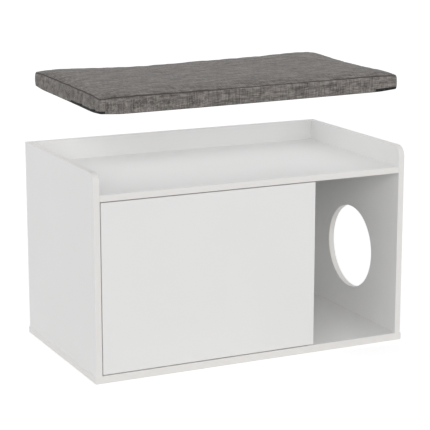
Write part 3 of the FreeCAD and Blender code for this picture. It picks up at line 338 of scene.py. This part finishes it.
def smooth_noise(x, y, seed, size):
    """Gentle noise from a few sine waves in fixed random directions."""
    rng = np.random.default_rng(seed)
    total = np.zeros_like(x)
    for _ in range(7):
        angle, phase = rng.uniform(0, 2 * math.pi, 2)
        wave = rng.uniform(0.6, 1.6) / size
        total += np.sin(2 * math.pi * wave * (x * math.cos(angle) + y * math.sin(angle)) + phase)
    return total / 7


def perimeter_place(points):
    """Distance round the outline from the front left corner, and outward direction."""
    x, y = points[:, 0], points[:, 1]
    room_x, room_y = HALF_X - np.abs(x), HALF_Y - np.abs(y)
    side_x = room_x < room_y
    around = np.where(side_x,
                      np.where(x > 0, 2 * HALF_X + (y + HALF_Y), 4 * HALF_X + 2 * HALF_Y + (HALF_Y - y)),
                      np.where(y < 0, x + HALF_X, 2 * HALF_X + 2 * HALF_Y + (HALF_X - x)))
    outward = np.stack([np.sign(x) * np.clip(1 - room_x / CORNER, 0, 1),
                        np.sign(y) * np.clip(1 - room_y / CORNER, 0, 1)], axis=1)
    length = np.linalg.norm(outward, axis=1)
    length[length < 1e-9] = 1
    return around, outward / length[:, None]


# Folds of the band that the photograph shows: place round the outline from the
# front left corner, half width, depth, slant.
FRONT_CORNER_FOLDS = [
    (0.025, 0.008, 0.0080, 0.10), (0.052, 0.008, 0.0090, -0.15), (0.089, 0.010, 0.0085, 0.20),
    (0.126, 0.009, 0.0045, -0.30), (0.165, 0.010, 0.0050, -0.40), (0.240, 0.013, 0.0042, 0.30),
]
LEFT_SIDE_FOLDS = [
    (2.085, 0.009, 0.0034, 0.20), (2.175, 0.009, 0.0062, -0.10),
    (2.258, 0.011, 0.0044, 0.30), (2.335, 0.009, 0.0052, -0.20),
]
LIGHT_FOLDS = (0.33, 2.05)         # stretch of the outline with the lighter folds


def all_folds():
    """The folds seen in the photograph, then lighter ones on the rest of the band."""
    folds = FRONT_CORNER_FOLDS + LEFT_SIDE_FOLDS
    turns = (2 * HALF_X, 2 * (HALF_X + HALF_Y), 4 * HALF_X + 2 * HALF_Y)
    rng = np.random.default_rng(8)
    place, last_place = LIGHT_FOLDS
    while place < last_place:
        width = rng.uniform(0.007, 0.013)
        corner = min(abs(place - turn) for turn in turns)
        depth = rng.uniform(0.0010, 0.0018) + 0.0014 * math.exp(-(corner / 0.05) ** 2)
        folds.append((place, width, depth, rng.uniform(-0.35, 0.35)))
        place += rng.uniform(0.035, 0.10)
    return folds


def shape_cushion(points, places, sizes):
    """Moves the lattice's points to the form of the filled, sewn cushion."""
    last_x, last_y, last_z = sizes
    around, outward = perimeter_place(points)
    height = points[:, 2].copy()
    level = np.clip(height / SEAM_HEIGHT, 0, 1)
    x, y = points[:, 0].copy(), points[:, 1].copy()
    on_band = (places[:, 0] == 0) | (places[:, 0] == last_x) | (places[:, 1] == 0) | (places[:, 1] == last_y)
    on_top = (places[:, 2] == last_z)
    on_bottom = (places[:, 2] == 0)
    seam = on_band & on_top
    round_corners(points, CORNER)
    # sides drawn in between the corners
    near_x = np.clip(np.abs(x) / HALF_X, 0, 1) ** DRAW_IN_POWER
    near_y = np.clip(np.abs(y) / HALF_Y, 0, 1) ** DRAW_IN_POWER
    points[:, 0] -= np.sign(x) * DRAW_IN * (1 - (y / HALF_Y) ** 2) * near_x
    points[:, 1] -= np.sign(y) * DRAW_IN * (1 - (x / HALF_X) ** 2) * near_y
    # the band stands out between its seams, and is folded here and there
    belly = np.where(on_band & ~on_top & ~on_bottom, np.sin(np.pi * level) ** 0.6, 0)
    push = np.where(seam | (on_band & on_bottom), -SEAM_TUCK, -BAND_SLACK * (1 - belly))
    for start, width, depth, slant in all_folds():
        offset = around - start - slant * (height - SEAM_HEIGHT / 2)
        crease = np.exp(-(offset / width) ** 2)
        shoulder = np.exp(-((np.abs(offset) - 1.9 * width) / width) ** 2)
        push += belly * depth * (SHOULDER * shoulder - crease)
        pull = np.exp(-(offset / (1.5 * width)) ** 2) * depth
        push -= np.where(seam, TOP_PULL * pull, 0) + np.where(on_band & on_bottom, BASE_PULL * pull, 0)
    push += BAND_RIPPLE * belly * smooth_noise(around, height * 2.0, 5, 0.05) - BAND_INSET * belly
    points[:, 0] += outward[:, 0] * np.where(on_band, push, 0)
    points[:, 1] += outward[:, 1] * np.where(on_band, push, 0)
    # crowned top: it swells steeply beside the seam's valley, then gently
    room = np.minimum(HALF_X - np.abs(x), HALF_Y - np.abs(y))
    roll = 1 - np.exp(-room / ROLL_REACH)
    dome = (1 - (x / HALF_X) ** 4) * (1 - (y / HALF_Y) ** 4)
    swell = VALLEY_RISE * (1 - np.exp(-room / VALLEY_REACH)) + ROLL_RISE * roll + CROWN * dome * roll
    swell += WIDE_WAVES * roll * smooth_noise(x, y, 11, 0.16)
    swell += FINE_WAVES * roll * smooth_noise(x, y, 23, 0.06)
    # small gathers that run in from the seam
    gather = smooth_noise(around, around * 0.4, 31, 0.028)
    gather *= np.exp(-room / GATHER_REACH) * np.clip(room / GATHER_START, 0, 1)
    points[:, 2] += np.where(on_top, swell + GATHERS * gather, 0) - np.where(seam, SEAM_DIP, 0)
    # the underside stays flat, and curls up a little at its edge
    points[:, 2] += np.where(on_bottom, EDGE_CURL * np.exp(-room / CURL_REACH), 0)
    # corners are soft: the seams come together there
    corner = np.hypot(HALF_X - np.abs(x), HALF_Y - np.abs(y))
    soft = np.exp(-(corner / SOFT_REACH) ** 2)
    points[:, 2] += CORNER_SOFTNESS * soft * (0.5 - level) * 2
    for axis, value in ((0, x), (1, y)):
        points[:, axis] -= np.sign(value) * 0.3 * CORNER_SOFTNESS * soft * np.abs(2 * level - 1) ** 2


# How high each corner stands above the level cushion, as photographed: it sags
# between its corners.
CORNER_LIFTS = {"front_left": 0.0, "front_right": 0.009, "back_left": 0.010, "back_right": 0.018}
BACK_SAG = 0.003                   # of the back edge, left of its middle


def lie_of_cushion(points):
    """Lifts the corners of the soft cushion."""
    u = np.clip((points[:, 0] / HALF_X + 1) / 2, 0, 1)
    v = np.clip((points[:, 1] / HALF_Y + 1) / 2, 0, 1)
    sides = {"left": (1 - u) ** 1.6, "right": u ** 1.6}
    ends = {"front": (1 - v) ** 1.3, "back": v ** 1.3}
    for corner, height in CORNER_LIFTS.items():
        end, side = corner.split("_")
        points[:, 2] += height * ends[end] * sides[side]
    points[:, 2] -= BACK_SAG * np.exp(-((u - 0.36) / 0.16) ** 2) * v ** 2


# the second skin is painted shade, the darker strips either side of the top seam
LINEN_SKIN, SEAM_SHADE_SKIN, BLACK_SKIN = 0, 1, 2
ZIP_HALF = 0.158                   # along the back of the cushion
ZIP_ROWS = (4, 5)                  # rows of the band that the zip's tape covers
PEEK_ROWS = (0, 1, 2)              # rows where the black base comes up round the edge


def skin(kind, ring, middle, last_band):
    """Which cloth, or the painted seam shade, covers a face of the lattice."""
    if kind == "bottom":
        return BLACK_SKIN
    # the top's ring beside its seam, and the band's top row, carry the painted seam shade
    if kind == "top":
        return SEAM_SHADE_SKIN if ring == 0 else LINEN_SKIN
    if ring == last_band:
        return SEAM_SHADE_SKIN
    if kind == "back" and ring in ZIP_ROWS and abs(middle.x) < ZIP_HALF:
        return BLACK_SKIN
    # the black base comes up round the lower edge here and there
    left_peek = kind == "left" and middle.y < -0.02
    front_peek = kind == "front" and not -HALF_X + 0.012 < middle.x < HALF_X - 0.06
    return BLACK_SKIN if ring in PEEK_ROWS and (left_peek or front_peek) else LINEN_SKIN


def new_object(name, points, faces, materials, smooth=True):
    """A mesh object from points and faces."""
    mesh = bpy.data.meshes.new(name)
    mesh.from_pydata([tuple(point) for point in points], [], faces)
    for material in materials:
        mesh.materials.append(material)
    for polygon in mesh.polygons:
        polygon.use_smooth = smooth
    mesh.update()
    made = bpy.data.objects.new(name, mesh)
    bpy.context.scene.collection.objects.link(made)
    return made


def apply_modifier(target, modifier):
    """Applies a modifier to an object's mesh."""
    bpy.context.view_layer.objects.active = target
    with bpy.context.temp_override(object=target, active_object=target, selected_objects=[target]):
        bpy.ops.object.modifier_apply(modifier=modifier.name)


CLOTH_FRAMES = 20
CLOTH_PRESSURE = 1.6
CLOTH_CAP = 0.0035                 # farthest that a point may move


def swell_as_cloth(target, places, sizes, rest):
    """Fills the cushion as cloth under pressure, held at its seams and underside."""
    last_x, last_y, last_z = sizes
    rim = (places[:, 0] == 0) | (places[:, 0] == last_x) | (places[:, 1] == 0) | (places[:, 1] == last_y)
    held = (places[:, 2] == 0) | (rim & (places[:, 2] == last_z))
    group = target.vertex_groups.new(name="held")
    group.add([int(i) for i in np.nonzero(held)[0]], 1.0, "REPLACE")
    cloth = target.modifiers.new("Cloth", "CLOTH")
    settings = cloth.settings
    settings.quality = 5
    settings.mass = 0.3
    settings.tension_stiffness = 20
    settings.compression_stiffness = 20
    settings.shear_stiffness = 8
    settings.bending_stiffness = 3.0
    settings.vertex_group_mass = "held"
    settings.use_pressure = True
    settings.uniform_pressure_force = CLOTH_PRESSURE
    settings.shrink_min = -0.004
    settings.effector_weights.gravity = 0
    cloth.collision_settings.use_collision = False
    cloth.point_cache.frame_start = 1
    cloth.point_cache.frame_end = CLOTH_FRAMES
    scene = bpy.context.scene
    for step in range(1, CLOTH_FRAMES + 1):
        scene.frame_set(step)
    evaluated = target.evaluated_get(bpy.context.evaluated_depsgraph_get())
    moved = np.array([vertex.co for vertex in evaluated.to_mesh().vertices])
    evaluated.to_mesh_clear()
    target.modifiers.remove(cloth)
    scene.frame_set(1)
    shift = moved - rest
    far = np.linalg.norm(shift, axis=1)
    keep = np.where(far > 1e-9, CLOTH_CAP * np.tanh(far / CLOTH_CAP) / np.maximum(far, 1e-9), 1)
    return rest + shift * keep[:, None]


stops_x, stops_y = axis_stops(HALF_X, PITCH), axis_stops(HALF_Y, PITCH)
points, places, faces, rings = lattice_mesh(stops_x, stops_y, np.array(BAND_STOPS))
sizes = (len(stops_x) - 1, len(stops_y) - 1, len(BAND_STOPS) - 1)
level_faces = [Vector(np.mean(points[face], axis=0)) for face in faces]
shape_cushion(points, places, sizes)
cushion = new_object("seat_cushion", points, faces, [linen, seam_shade_material, black_cloth])
for polygon, (kind, ring), middle in zip(cushion.data.polygons, rings, level_faces):
    polygon.material_index = skin(kind, ring, middle, sizes[2] - 1)
points = swell_as_cloth(cushion, places, sizes, points)
lie_of_cushion(points)
cushion.data.vertices.foreach_set("co", points.ravel())
cushion.data.update()
subdivision = cushion.modifiers.new("Subdivision", "SUBSURF")
subdivision.levels = subdivision.render_levels = 1
apply_modifier(cushion, subdivision)
cushion.location = CENTRE


COIL_PROFILE = [(-0.0014, 0.0), (-0.0009, 0.0010), (0.0009, 0.0010), (0.0014, 0.0)]     # up, outwards


def zip_coil():
    """The zip's closed coil, a raised bead along the tape's middle row."""
    middle = (places[:, 1] == sizes[1]) & (places[:, 2] == ZIP_ROWS[1]) & (np.abs(points[:, 0]) < ZIP_HALF)
    line = points[middle]
    line = line[np.argsort(line[:, 0])]
    stations = [[(px, py + out, pz + up) for up, out in COIL_PROFILE] for px, py, pz in line]
    count = len(COIL_PROFILE)
    faces = [[i * count + k, (i + 1) * count + k, (i + 1) * count + k + 1, i * count + k + 1]
             for i in range(len(stations) - 1) for k in range(count - 1)]
    outline = [point for station in stations for point in station]
    return new_object("zip_coil", outline, faces, [zip_black]), line


def box_mesh(name, low, high, material, bevel):
    """A small box with softened edges."""
    mesh = bpy.data.meshes.new(name)
    shape = bmesh.new()
    bmesh.ops.create_cube(shape, size=1)
    for vertex in shape.verts:
        vertex.co = Vector([(a + b) / 2 + c * (b - a) for a, b, c in zip(low, high, vertex.co)])
    bmesh.ops.bevel(shape, geom=shape.edges, offset=bevel, segments=2, profile=0.5, affect="EDGES")
    shape.to_mesh(mesh)
    shape.free()
    mesh.materials.append(material)
    made = bpy.data.objects.new(name, mesh)
    bpy.context.scene.collection.objects.link(made)
    return made


coil, coil_line = zip_coil()
end = Vector(coil_line[-2])
slider = box_mesh("zip_slider", end + Vector((-0.0045, -0.0005, -0.0035)),
                  end + Vector((0.0045, 0.0028, 0.0035)), zip_black, 0.0008)
pull = box_mesh("zip_pull", end + Vector((-0.0022, 0.0012, -0.0170)),
                end + Vector((0.0022, 0.0026, -0.0030)), zip_black, 0.0005)
bpy.context.view_layer.update()
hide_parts("cushion_body", "cushion_base_fabric", "cushion_zip")
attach(cushion, "cushion")
for piece in (coil, slider, pull):
    piece.location = CENTRE
    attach(piece, "cushion")

# ------------------------------------------------------- camera, floor, light
scene = bpy.context.scene
scene.view_settings.view_transform = "Standard"

camera_data = bpy.data.cameras.new("camera")
camera = bpy.data.objects.new("camera", camera_data)
scene.collection.objects.link(camera)
scene.camera = camera
FOCAL_PIXELS, FRAME_PIXELS = 1593.0, 430.0
TURN, DOWN = 25.71, 12.65          # degrees to the right of +Y, and below level
camera_data.sensor_width = 36.0
camera_data.lens = FOCAL_PIXELS / FRAME_PIXELS * camera_data.sensor_width
camera_data.clip_end = 100
camera.location = (-1.640, -3.414, 1.157)
camera.rotation_euler = Euler((math.radians(90 - DOWN), 0, math.radians(-TURN)), "XYZ")


def seen_directly(tree):
    """1 for rays of the camera and of mirror images, 0 for the light between surfaces."""
    path = tree.nodes.new("ShaderNodeLightPath")
    mirrored = math_node(tree, "MAXIMUM", path.outputs["Is Glossy Ray"], path.outputs["Is Transmission Ray"])
    return math_node(tree, "MAXIMUM", path.outputs["Is Camera Ray"], mirrored)


FLOOR_WHITE = 0.80
FLOOR_LIFT = 0.49                  # brings the bare floor to the backdrop's white
floor_material, floor_tree, floor_shader = new_material("floor", (FLOOR_WHITE,) * 3, 0.9)
floor_shader.inputs["Specular IOR Level"].default_value = 0.0
floor_shader.inputs["Emission Color"].default_value = (1, 1, 1, 1)
lift = math_node(floor_tree, "MULTIPLY", seen_directly(floor_tree), FLOOR_LIFT)
floor_tree.links.new(lift, floor_shader.inputs["Emission Strength"])
FLOOR_HALF = 40
floor_corners = [(-FLOOR_HALF, -FLOOR_HALF, 0), (FLOOR_HALF, -FLOOR_HALF, 0),
                 (FLOOR_HALF, FLOOR_HALF, 0), (-FLOOR_HALF, FLOOR_HALF, 0)]
floor = new_object("floor", floor_corners, [[0, 1, 2, 3]], [floor_material])

# A ring of soft light round the horizon, dimmer overhead, before a white backdrop.
RING, OVERHEAD = 0.815, 0.51
RING_TOP, DOME_FOOT = 0.45, 0.85   # heights on the sky's unit sphere between which it fades
SKY_TINT = (0.985, 0.99, 1, 1)
world = bpy.data.worlds.new("studio")
scene.world = world
world.use_nodes = True
sky_tree = world.node_tree
sky = sky_tree.nodes["Background"]
sky.inputs["Color"].default_value = SKY_TINT
direction = sky_tree.nodes.new("ShaderNodeTexCoord")
parts = sky_tree.nodes.new("ShaderNodeSeparateXYZ")
sky_tree.links.new(direction.outputs["Generated"], parts.inputs["Vector"])
fade = sky_tree.nodes.new("ShaderNodeMapRange")
fade.interpolation_type = "SMOOTHSTEP"
for socket, value in (("From Min", RING_TOP), ("From Max", DOME_FOOT),
                      ("To Min", RING), ("To Max", OVERHEAD)):
    fade.inputs[socket].default_value = value
sky_tree.links.new(parts.outputs["Z"], fade.inputs["Value"])
sky_tree.links.new(fade.outputs["Result"], sky.inputs["Strength"])
backdrop = sky_tree.nodes.new("ShaderNodeBackground")
backdrop.inputs["Color"].default_value = (1, 1, 1, 1)
choose = sky_tree.nodes.new("ShaderNodeMixShader")
sky_tree.links.new(seen_directly(sky_tree), choose.inputs["Fac"])
sky_tree.links.new(sky.outputs["Background"], choose.inputs[1])
sky_tree.links.new(backdrop.outputs["Background"], choose.inputs[2])
sky_tree.links.new(choose.outputs["Shader"], sky_tree.nodes["World Output"].inputs["Surface"])

KEY = 0.78
KEY_TINT = (1, 0.978, 0.95)
KEY_DIRECTION = (0.42, 0.84, -0.34)
KEY_ANGLE = 24
sun_data = bpy.data.lights.new("key", "SUN")
sun_data.energy = KEY
sun_data.color = KEY_TINT
sun_data.angle = math.radians(KEY_ANGLE)
sun = bpy.data.objects.new("key", sun_data)
scene.collection.objects.link(sun)
sun.visible_glossy = False          # no burnt patch where the seat mirrors the lamp
sun.rotation_euler = Vector(KEY_DIRECTION).to_track_quat("-Z", "Y").to_euler()

# The photograph shows no shadow of the cushion on the seat, so a fill lamp hangs between them.
FILL = 0.61
FILL_INSET, FILL_DROP = 0.015, 0.008            # from the cushion's sides, and below it
fill_data = bpy.data.lights.new("seat_fill", "AREA")
fill_data.shape = "RECTANGLE"
fill_data.size, fill_data.size_y = 2 * (HALF_X - FILL_INSET), 2 * (HALF_Y - FILL_INSET)
fill_data.energy = FILL
fill = bpy.data.objects.new("seat_fill", fill_data)
scene.collection.objects.link(fill)
fill.location = (CENTRE.x, CENTRE.y, CENTRE.z - FILL_DROP)
fill.visible_camera = False
fill.visible_glossy = False
